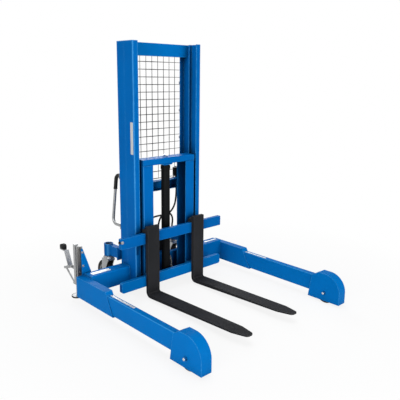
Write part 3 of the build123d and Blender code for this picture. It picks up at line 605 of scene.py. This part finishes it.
def corners(first, second):
    """Pairs at the corners of a rectangle between two ranges, in order round it."""
    return [(first[0], second[0]), (first[1], second[0]), (first[1], second[1]), (first[0], second[1])]


def circle(reach):
    """Pairs round a circle, back to the first."""
    angles = [2 * math.pi * step / CIRCLE_STEPS for step in range(CIRCLE_STEPS + 1)]
    return [(reach * math.cos(angle), reach * math.sin(angle)) for angle in angles]


def frame_bead(shape, points):
    """Bead round a closed loop of points."""
    bead(shape, *points, points[0])


# Mast: leg sockets, caster arms with their swivel housings, handle ends and cylinder foot.
SOCKET_FRONT = 86
SOCKET_REAR = 196
SOCKET_BOTTOM = 112
ARM_HALF = 25
ARM_FRONT = 226
ARM_BOTTOM = 287
ARM_TOP = 375
HOUSING_FOOT = 290
HOUSING_INNER_Y = 368
HOUSING_OUTER_Y = 348
HANDLE_REACH = 13
HANDLE_FOOT_Y = 222.5
CYLINDER_REACH = 38
CYLINDER_FOOT = 90.5
socket_y = (SOCKET_FRONT + BEAD_SHIFT, SOCKET_REAR - BEAD_SHIFT)
socket_z = (SOCKET_BOTTOM + BEAD_SHIFT, SOCKET_TOP - BEAD_SHIFT)
arm_z = (ARM_BOTTOM + BEAD_SHIFT, ARM_TOP - BEAD_SHIFT)
welds = bmesh.new()
for sign in (-1, 1):
    socket_x = sign * (SIDE_FACE + BEAD_SHIFT)
    frame_bead(welds, [at(socket_x, y, z) for y, z in corners(socket_y, socket_z)])
    arm_x = (sign * (SIDE_FACE - ARM_HALF), sign * (SIDE_FACE + ARM_HALF))
    frame_bead(welds, [at(x, ARM_FRONT + BEAD_SHIFT, z) for x, z in corners(arm_x, arm_z)])
    for x, y in zip(arm_x, (HOUSING_INNER_Y, HOUSING_OUTER_Y)):
        bead(welds, at(x, y, HOUSING_FOOT), at(x, y, ARM_TOP - BEAD_SHIFT))
for z in (HANDLE_BOTTOM, HANDLE_TOP):
    bead(welds, *(at(HANDLE_X + u, HANDLE_FOOT_Y, z + v) for u, v in circle(HANDLE_REACH)), radius=2)
bead(welds, *(at(u, LIFT_Y + v, CYLINDER_FOOT) for u, v in circle(CYLINDER_REACH)), radius=3.5)
keep(finished("mast_welds", welds, WELD_SHARP), "mast", "blue_paint")

# Carriage: posts under the top bar, fork bars on the posts and the rod's tab.
POST_INNER = 179
POST_OUTER = 277
POST_CORNER = 8
POST_REAR = 106
POST_TOP = 1100
POST_END = 2
BAR_HEIGHTS = ((107, 190), (475, 532))
TAB_HALF = 57
TAB_REACH = 35
welds = bmesh.new()
for sign in (-1, 1):
    inner = sign * (POST_INNER + BEAD_SHIFT)
    outer = sign * (POST_OUTER - BEAD_SHIFT)
    for y in (CARRIAGE_FRONT, POST_REAR):
        bead(welds, at(inner, y, POST_TOP), at(outer, y, POST_TOP))
    bead(welds, at(outer, CARRIAGE_FRONT + POST_END, POST_TOP), at(outer, POST_REAR - POST_END, POST_TOP))
    near = sign * (POST_INNER + POST_CORNER)
    far = sign * (POST_OUTER - POST_CORNER)
    for low, high in BAR_HEIGHTS:
        for x in (near, far):
            bead(welds, at(x, CARRIAGE_FRONT, low), at(x, CARRIAGE_FRONT, high))
        for y in (CARRIAGE_FRONT, BAR_REAR):
            bead(welds, at(near, y, high), at(far, y, high))
for y in (LIFT_Y - TAB_REACH, LIFT_Y + TAB_REACH):
    bead(welds, at(-TAB_HALF, y, POST_TOP), at(TAB_HALF, y, POST_TOP))
keep(finished("carriage_welds", welds, WELD_SHARP), "carriage", "blue_paint")

# Legs: fender on the leg tube, end plate on the sleeve and the sleeve's slanted front.
FENDER_FOOT = (-971, 69)
FENDER_TOP = (-993, LEG_TOP)
SLEEVE_HALF = 30.5
SLEEVE_BOTTOM = 62
SLEEVE_TOP = 231
SLANT_FOOT = (-252, 67)
SLANT_TOP = (-214, 206)
for side, sign in SIDES:
    welds = bmesh.new()
    inner = sign * (LEG_X - LEG_HALF)
    outer = sign * (LEG_X + LEG_HALF)
    arch = ((inner, FENDER_FOOT), (inner, FENDER_TOP), (outer, FENDER_TOP), (outer, FENDER_FOOT))
    bead(welds, *(at(x, *place) for x, place in arch))
    near = sign * (LEG_X - SLEEVE_HALF)
    far = sign * (LEG_X + SLEEVE_HALF)
    bead(welds, at(near, SLEEVE_REAR, SLEEVE_TOP), at(far, SLEEVE_REAR, SLEEVE_TOP))
    bead(welds, at(far, SLEEVE_REAR, SLEEVE_BOTTOM), at(far, SLEEVE_REAR, SLEEVE_TOP))
    for x in (inner, outer):
        bead(welds, at(x, *SLANT_FOOT), at(x, *SLANT_TOP))
    keep(finished(f"{side}_leg_welds", welds, WELD_SHARP), f"{side}_leg", "blue_paint")

# Forks: hook on the shank.
HOOK_HALF = 57
HOOK_Z = 591
for side, sign in SIDES:
    welds = bmesh.new()
    x = sign * FORK_X
    bead(welds, at(x - HOOK_HALF, BAR_FRONT, HOOK_Z), at(x + HOOK_HALF, BAR_FRONT, HOOK_Z))
    keep(finished(f"{side}_fork_weld", welds, WELD_SHARP), f"{side}_fork", "fork_black")


# Fasteners on the mast: caster arms, mesh clips, side plugs, handle feet, valve, pump and tank lid.
# The plugs of the valve and the pump are pairs of x or z with the width across flats.
ARM_BOLT_X = 318.5
ARM_BOLT_HEIGHTS = (295, 367)
CLIP_X = 313
CLIP_HALF = 9
CLIP_REACH = 11
CLIP_REAR = 225
CLIP_HEIGHTS = range(1040, 2060, 240)
SIDE_PLUG = [(9, -0.2), (9, 6), (7, 9), (4, 9.5)]
SIDE_PLUG_PLACE = (191, 429)
FOOT_FACE = 222
FOOT_REACH = 18
VALVE_X = 290
VALVE_Y = 243
VALVE_REAR = 264
VALVE_TOP = 1004
VALVE_HEIGHTS = (940, 994)
VALVE_REACH = 18
VALVE_PLUGS = ((278, 19), (303, 14))
VALVE_FOOT = (228, 870)
VALVE_FOOT_REACH = 19
PUMP_COLUMNS = (66, 139)
PUMP_ROWS = (262, 348)
PUMP_TOP = 372
PUMP_SIDE = 150
PUMP_PLUGS = ((300, 19), (345, 14))
PUMP_PLUG_Y = 330
LID_COLUMNS = (-128, -42, 43)
LID_ROWS = (247, 373)
LID_TOP = 404
bolts = bmesh.new()
for sign in (-1, 1):
    for z in ARM_BOLT_HEIGHTS:
        bolt(bolts, at(sign * ARM_BOLT_X, ARM_FRONT, z), BACK, across=17)
    x = sign * CLIP_X
    for z in CLIP_HEIGHTS:
        low = at(x - CLIP_HALF, MAST_REAR, z - CLIP_REACH)
        slab(bolts, low, at(x + CLIP_HALF, CLIP_REAR, z + CLIP_REACH), bevel=1.2)
        bolt(bolts, at(x, CLIP_REAR, z), BACK, across=9)
    turned(bolts, at(sign * SIDE_FACE, *SIDE_PLUG_PLACE), (sign, 0, 0), SIDE_PLUG, sides=6)
for z in (HANDLE_BOTTOM, HANDLE_TOP):
    for way in (-1, 1):
        bolt(bolts, at(HANDLE_X, FOOT_FACE, z + way * FOOT_REACH), BACK, across=8, washer=False)
for x in (VALVE_X - VALVE_REACH, VALVE_X + VALVE_REACH):
    for z in VALVE_HEIGHTS:
        bolt(bolts, at(x, VALVE_REAR, z), BACK, across=8, washer=False)
for x in (VALVE_X - VALVE_FOOT_REACH, VALVE_X + VALVE_FOOT_REACH):
    bolt(bolts, at(x, *VALVE_FOOT), BACK, across=9)
for x, across in VALVE_PLUGS:
    bolt(bolts, at(x, VALVE_Y, VALVE_TOP), UP, across)
for x in PUMP_COLUMNS:
    for y in PUMP_ROWS:
        bolt(bolts, at(x, y, PUMP_TOP), UP, across=11)
for x in LID_COLUMNS:
    for y in LID_ROWS:
        bolt(bolts, at(x, y, LID_TOP), UP, across=9, washer=False)
for z, across in PUMP_PLUGS:
    bolt(bolts, at(PUMP_SIDE, PUMP_PLUG_Y, z), RIGHT, across)
keep(finished("mast_bolts", bolts), "mast", "zinc_steel")

# Fork stops on the upper bar and screws in its ends.
STOP_X = 540
STOP_Z = 533
END_SCREW_X = 552
END_SCREW_PLACE = (-60, 532)
bolts = bmesh.new()
bolt(bolts, at(-STOP_X, BAR_FRONT, STOP_Z), FRONT, across=17)
bolt(bolts, at(STOP_X, BAR_REAR, STOP_Z), BACK, across=17)
keep(finished("fork_bar_stops", bolts), "carriage", "zinc_steel")
screws = bmesh.new()
for sign in (-1, 1):
    bolt(screws, at(sign * END_SCREW_X, *END_SCREW_PLACE), (sign, 0, 0), across=16)
keep(finished("fork_bar_end_screws", screws), "carriage", "cylinder_black")

# Floor lock: flange bolts at (x, z) with their nuts, and rings on the lever's pivot.
FLANGE_BOLTS = ((-731, 426), (-728, 312))
FLANGE_REAR = 222
PIVOT_COLUMNS = (-776, -738)
PIVOT = (322, 285)
PIVOT_RING = [(8.5, 0), (8.5, 1.2), (8, 1.6)]
bolts = bmesh.new()
for x, z in FLANGE_BOLTS:
    bolt(bolts, at(x, SLEEVE_REAR, z), FRONT, across=12)
    bolt(bolts, at(x, FLANGE_REAR, z), BACK, across=12)
for x in PIVOT_COLUMNS:
    turned(bolts, at(x, *PIVOT), RIGHT, PIVOT_RING, sides=20)
keep(finished("floor_lock_bolts", bolts), "left_leg", "zinc_steel")

# Load wheel axles with grease nipples, and the casters' king nuts, axle nuts and swivel races.
AXLE_END = 53
NIPPLE_START = 10
NIPPLE = [(6, -0.3), (6, 1.5), (3.2, 2), (2.6, 4.5), (3.3, 5.5), (2.2, 7)]
KING_WASHER = [(27, 0), (27, 3), (26, 3.6)]
KING_WASHER_Z = 361.5
KING_NUT = [(21, -0.5), (21, 12), (17.5, 14), (10, 14.2), (10, 17), (8.5, 18)]
KING_NUT_Z = 365
AXLE_NUT = [(11, 0), (11, 6), (9.6, 7.5), (4, 7.6), (3, 10)]
AXLE_NUT_X = 43
RACE = [(49, 0), (50, 6), (50, 14), (48, 20), (44, 24)]
RACE_Z = 246
for side, sign in SIDES:
    nipples = bmesh.new()
    for way in (-1, 1):
        axis = (way, 0, 0)
        place = at(sign * LEG_X + way * AXLE_END, *LOAD_AXLE)
        bolt(nipples, place, axis, across=19, washer=False)
        turned(nipples, place + Vector((way * NIPPLE_START, 0, 0)) * MM, axis, NIPPLE, sides=12)
    keep(finished(f"{side}_axle_nipples", nipples), f"{side}_leg", "polished_steel")
    nut = bmesh.new()
    turned(nut, at(sign * CASTER_X, KING_PIN_Y, KING_WASHER_Z), UP, KING_WASHER, sides=32)
    turned(nut, at(sign * CASTER_X, KING_PIN_Y, KING_NUT_Z), UP, KING_NUT, sides=6)
    keep(finished(f"{side}_king_nut", nut), f"{side}_caster", "cylinder_black")
    pins = bmesh.new()
    for way in (-1, 1):
        turned(pins, at(sign * CASTER_X + way * AXLE_NUT_X, *CASTER_AXLE), (way, 0, 0), AXLE_NUT, sides=6)
    turned(pins, at(sign * CASTER_X, KING_PIN_Y, RACE_Z), UP, RACE, sides=48)
    keep(finished(f"{side}_caster_pin", pins), f"{side}_caster", "zinc_steel")


# Hose ends: a hexagon nut on each fitting and a crimped sleeve over each hose.
FITTING_LENGTH = 26
HOSE_NUT = [(15, 0.3), (15, 9), (13.2, 10.5)]
CRIMP_LOW = 12.2
CRIMP_HIGH = 12.9
CRIMP_PITCH = 4
CRIMP_COUNT = 4
HOSE_ENDS = ((lift_route[0], 1), (control_route[-1], 1), (control_route[0], -1), (lift_route[-1], 1))
sleeve = [(CRIMP_LOW, 10)]
for step in range(CRIMP_COUNT):
    height = 10 + CRIMP_PITCH * step
    sleeve += [(CRIMP_HIGH, height + 1), (CRIMP_HIGH, height + 3), (CRIMP_LOW, height + 4)]
sleeve += [(12.6, 28), (10.2, 32)]
ends = bmesh.new()
for (x, y, z), way in HOSE_ENDS:
    place = at(x, y, z - way * FITTING_LENGTH)
    turned(ends, place, (0, 0, way), HOSE_NUT, sides=6)
    turned(ends, place, (0, 0, way), sleeve, sides=28)
keep(finished("hose_crimps", ends), "mast", "roller_steel")


# Coiled wire guard round the lift hose's lower end.
COIL_PITCH = 11
COIL_STEPS = 14
COIL_WIRE = 2
COIL_REACH = HOSE_RADIUS + 1.8
GUARDED_POINTS = 4
CURVE_STEPS = 40
FIRST_STEP = 30


def smooth_line(route, steps):
    """Points along the same curve that a hose takes through its route."""
    points = [at(*place) for place in route]
    joints = [points[0]] + [(a + b) / 2 for a, b in zip(points[1:], points[2:-1])] + [points[-1]]
    line = []
    for start, bend, end in zip(joints, points[1:], joints[1:]):
        for step in range(steps):
            share = step / steps
            line.append(start.lerp(bend, share).lerp(bend.lerp(end, share), share))
    return line + [points[-1]]


def coil_line(line):
    """Points of a helix round a line of points that runs nearly in Y and Z."""
    side_way = Vector(RIGHT)
    lengths = [0]
    for start, end in zip(line, line[1:]):
        lengths.append(lengths[-1] + (end - start).length)
    wire = []
    for index in range(round(lengths[-1] / (COIL_PITCH * MM) * COIL_STEPS)):
        reach = index * COIL_PITCH * MM / COIL_STEPS
        spot = next(place for place, length in enumerate(lengths) if length > reach) - 1
        way = (line[spot + 1] - line[spot]).normalized()
        centre = line[spot] + way * (reach - lengths[spot])
        angle = 2 * math.pi * index / COIL_STEPS
        out = side_way * math.cos(angle) + way.cross(side_way) * math.sin(angle)
        wire.append(centre + out * COIL_REACH * MM)
    return wire


coil = bmesh.new()
wire = coil_line(smooth_line(lift_route[-GUARDED_POINTS:], CURVE_STEPS)[FIRST_STEP:])
rings = []
for before, here, after in zip(wire, wire[1:], wire[2:]):
    rings.append(ring(coil, here, after - before, COIL_WIRE, sides=6))
skin(coil, rings)
keep(finished("hose_guard", coil, sharp=60), "mast", "zinc_steel")


# Pump: tank lid with its filler neck at (x, y), and the fluted filler cap.
LID_LOW = (-141, 234, 399.5)
LID_HIGH = (56, 386, LID_TOP)
FILLER = (-85, 340)
NECK = [(24, -0.5), (24, 3), (22, 4)]
CAP = [(21.5, 0), (22, 2), (22, 13), (20, 15)]
CAP_Z = 407
CAP_FACE = [(15, -0.5), (15, 1.2), (13, 2), (5, 2.4)]
CAP_FACE_Z = 421.5
lid = bmesh.new()
slab(lid, at(*LID_LOW), at(*LID_HIGH), bevel=1.2)
turned(lid, at(*FILLER, LID_TOP), UP, NECK, sides=32)
keep(finished("tank_lid", lid), "mast", "cylinder_black")
cap = bmesh.new()
turned(cap, at(*FILLER, CAP_Z), UP, CAP, sides=48, flute=0.05)
turned(cap, at(*FILLER, CAP_FACE_Z), UP, CAP_FACE, sides=32)
keep(finished("filler_cap", cap), "mast", "black_plastic")

# Ribbed pad of the floor lock's lever.
PAD_HALF = 22
PAD_LOW = (448, 401)
PAD_HIGH = (490, 431)
TREAD_HALF = 20
TREAD_COUNT = 6
TREAD_START = 451.5
TREAD_PITCH = 6.6
TREAD_WIDTH = 4
TREAD_HEIGHTS = (428, 437)
pad = bmesh.new()
slab(pad, at(LOCK_X - PAD_HALF, *PAD_LOW), at(LOCK_X + PAD_HALF, *PAD_HIGH), bevel=4)
for step in range(TREAD_COUNT):
    y = TREAD_START + TREAD_PITCH * step
    low = at(LOCK_X - TREAD_HALF, y, TREAD_HEIGHTS[0])
    slab(pad, low, at(LOCK_X + TREAD_HALF, y + TREAD_WIDTH, TREAD_HEIGHTS[1]), bevel=1.4)
keep(finished("floor_lock_tread", pad), "floor_lever", "rubber_black", "floor_lock_pad")

# Dark steel plate with two screws over the floor lock's flange as painted shade, and rubber rim on its
# foot.
COVER_FRONT = 214.4
COVER_LOW = (-774, COVER_FRONT, 237)
COVER_HIGH = (-741, 216, 474)
COVER_SCREW = [(7, -0.2), (7, 1.6), (5, 3.2), (2, 3.6)]
COVER_SCREW_HEIGHTS = (262, 452)
RIM = [(41, 52.3), (43.5, 53.2), (45.6, 53), (47, 51.4), (47, 42.6), (45.6, 40.6), (41, 40.3)]
RIM_PLACE = (265, 0)
shade_plate = bmesh.new()
slab(shade_plate, at(*COVER_LOW), at(*COVER_HIGH), bevel=0.6)
for z in COVER_SCREW_HEIGHTS:
    turned(shade_plate, at(LOCK_X, COVER_FRONT, z), FRONT, COVER_SCREW, sides=20)
keep(finished("floor_lock_shade_plate", shade_plate), "left_leg", "roller_steel")
rim = bmesh.new()
turned(rim, at(LOCK_X, *RIM_PLACE), UP, RIM, sides=56, closed=True)
keep(finished("floor_lock_rim", rim), "floor_plunger", "rubber_black")

# Black wiper cap with four screws, over the head of the lift cylinder's middle stage.
WIPER = [(21, 0), (34.6, 0), (34.8, 1), (34.8, 4.6), (33.4, 6), (24, 6.6), (21, 6)]
WIPER_Z = 1075.7
WIPER_SCREW = [(3, -0.4), (3, 0.6), (2.2, 1.2)]
WIPER_SCREW_Z = 1081.8
WIPER_SCREW_REACH = 29
cap = bmesh.new()
turned(cap, at(0, LIFT_Y, WIPER_Z), UP, WIPER, sides=48, closed=True)
for step in range(4):
    angle = math.radians(45 + 90 * step)
    x = WIPER_SCREW_REACH * math.cos(angle)
    y = LIFT_Y + WIPER_SCREW_REACH * math.sin(angle)
    turned(cap, at(x, y, WIPER_SCREW_Z), UP, WIPER_SCREW, sides=10)
keep(finished("wiper_cap", cap), "lift_stage", "cylinder_black")

# Blank plates where the labels sit on the mast: centre, direction along the plate, length and width.
MAST_PLATES = (((-SIDE_FACE, 28, 1329), UP, 255, 34), ((-608, 141, SOCKET_TOP), RIGHT, 172, 44),
               ((641, 144, SOCKET_TOP), RIGHT, 158, 18))
plates = bmesh.new()
for place, along, length, width in MAST_PLATES:
    bare_plate(plates, at(*place), along, BACK, length, width)
keep(finished("mast_plates", plates), "mast", "zinc_steel", finish=blank_plate)

# Darker blue plates on the front flanges, just below the upper fork bar: painted shade.
SHADOW_PLATE_X = 339
SHADOW_PLATE_Z = 399
shadow_plates = bmesh.new()
for sign in (-1, 1):
    bare_plate(shadow_plates, at(sign * SHADOW_PLATE_X, 0, SHADOW_PLATE_Z), UP, LEFT, length=66, width=22)
keep(finished("flange_shadow_plates", shadow_plates), "mast", "blue_paint", finish=shadow_blue)

# Blank plates where the labels sit on the legs: side, place across, ends along Y and width.
LEG_PLATES = (("left", -754, -523, -233, 20), ("right", 750, -470, -225, 18))
for side, x, start, end, width in LEG_PLATES:
    plates = bmesh.new()
    bare_plate(plates, at(x, (start + end) / 2, LEG_TOP), BACK, LEFT, end - start, width)
    keep(finished(f"{side}_leg_plate", plates), f"{side}_leg", "zinc_steel", finish=blank_plate)


# Floor, white surroundings and soft studio light, in metres.
FLOOR_HALF = 30
GREY_REACH = 1.3
WHITE_REACH = 2.6
GREY_SHARE = 0.86


def seen(mat):
    """One for what the camera, mirrors and glass see, zero for other light."""
    path = node(mat, "ShaderNodeLightPath").outputs
    inputs = {0: path["Is Camera Ray"], 1: path["Is Glossy Ray"]}
    first = node(mat, "ShaderNodeMath", inputs, operation="MAXIMUM")
    inputs = {0: first.outputs[0], 1: path["Is Transmission Ray"]}
    return node(mat, "ShaderNodeMath", inputs, operation="MAXIMUM").outputs[0]


floor_mat, floor_shader = material("studio_floor", roughness=0.9, Base_Color=(0.86, 0.86, 0.86, 1))
spot = node(floor_mat, "ShaderNodeTexCoord").outputs["Object"]
reach = node(floor_mat, "ShaderNodeVectorMath", {0: spot}, operation="LENGTH").outputs["Value"]
inputs = {"Value": reach, "From Min": GREY_REACH, "From Max": WHITE_REACH,
          "To Min": GREY_SHARE, "To Max": 1.0}
share = node(floor_mat, "ShaderNodeMapRange", inputs).outputs[0]
part = node(floor_mat, "ShaderNodeMath", {0: seen(floor_mat), 1: share}, operation="MULTIPLY")
glow = node(floor_mat, "ShaderNodeEmission", {"Color": (1, 1, 1, 1), "Strength": 1})
inputs = {0: part.outputs[0], 1: floor_shader.outputs[0], 2: glow.outputs[0]}
blend = node(floor_mat, "ShaderNodeMixShader", inputs)
join(floor_mat, blend.outputs[0], floor_mat.node_tree.nodes["Material Output"].inputs["Surface"])
floor_data = bpy.data.meshes.new("studio_floor")
floor_corners = corners((-FLOOR_HALF, FLOOR_HALF), (-FLOOR_HALF, FLOOR_HALF))
floor_data.from_pydata([(x, y, 0) for x, y in floor_corners], [], [(0, 1, 2, 3)])
floor = bpy.data.objects.new("studio_floor", floor_data)
floor.data.materials.append(floor_mat)
bpy.context.scene.collection.objects.link(floor)

world = bpy.data.worlds.new("studio")
world.use_nodes = True
bpy.context.scene.world = world
ambient = world.node_tree.nodes["Background"]
ambient.inputs["Color"].default_value = (0.95, 0.97, 1, 1)
ambient.inputs["Strength"].default_value = 0.2
white = node(world, "ShaderNodeBackground", {"Color": (1, 1, 1, 1), "Strength": 1})
sky = node(world, "ShaderNodeMixShader", {0: seen(world), 1: ambient.outputs[0], 2: white.outputs[0]})
join(world, sky.outputs[0], world.node_tree.nodes["World Output"].inputs["Surface"])


def softbox(name, place, aim, width, watts):
    """Square area lamp aimed at a point."""
    lamp = bpy.data.lights.new(name, "AREA")
    lamp.size = width
    lamp.energy = watts
    piece = bpy.data.objects.new(name, lamp)
    piece.location = place
    piece.rotation_euler = (Vector(aim) - Vector(place)).to_track_quat("-Z", "Y").to_euler()
    bpy.context.scene.collection.objects.link(piece)


softbox("key", place=(-4.5, -2.0, 1.2), aim=(0, 0, 0.8), width=3.0, watts=146)
softbox("front", place=(0.5, -5.0, 1.3), aim=(0, 0, 0.8), width=3.0, watts=122)
softbox("top", place=(0.0, 0.2, 5.0), aim=(0, 0, 0), width=3.5, watts=135)
softbox("back", place=(3.0, 4.5, 3.0), aim=(0, 0, 0.8), width=3.0, watts=100)
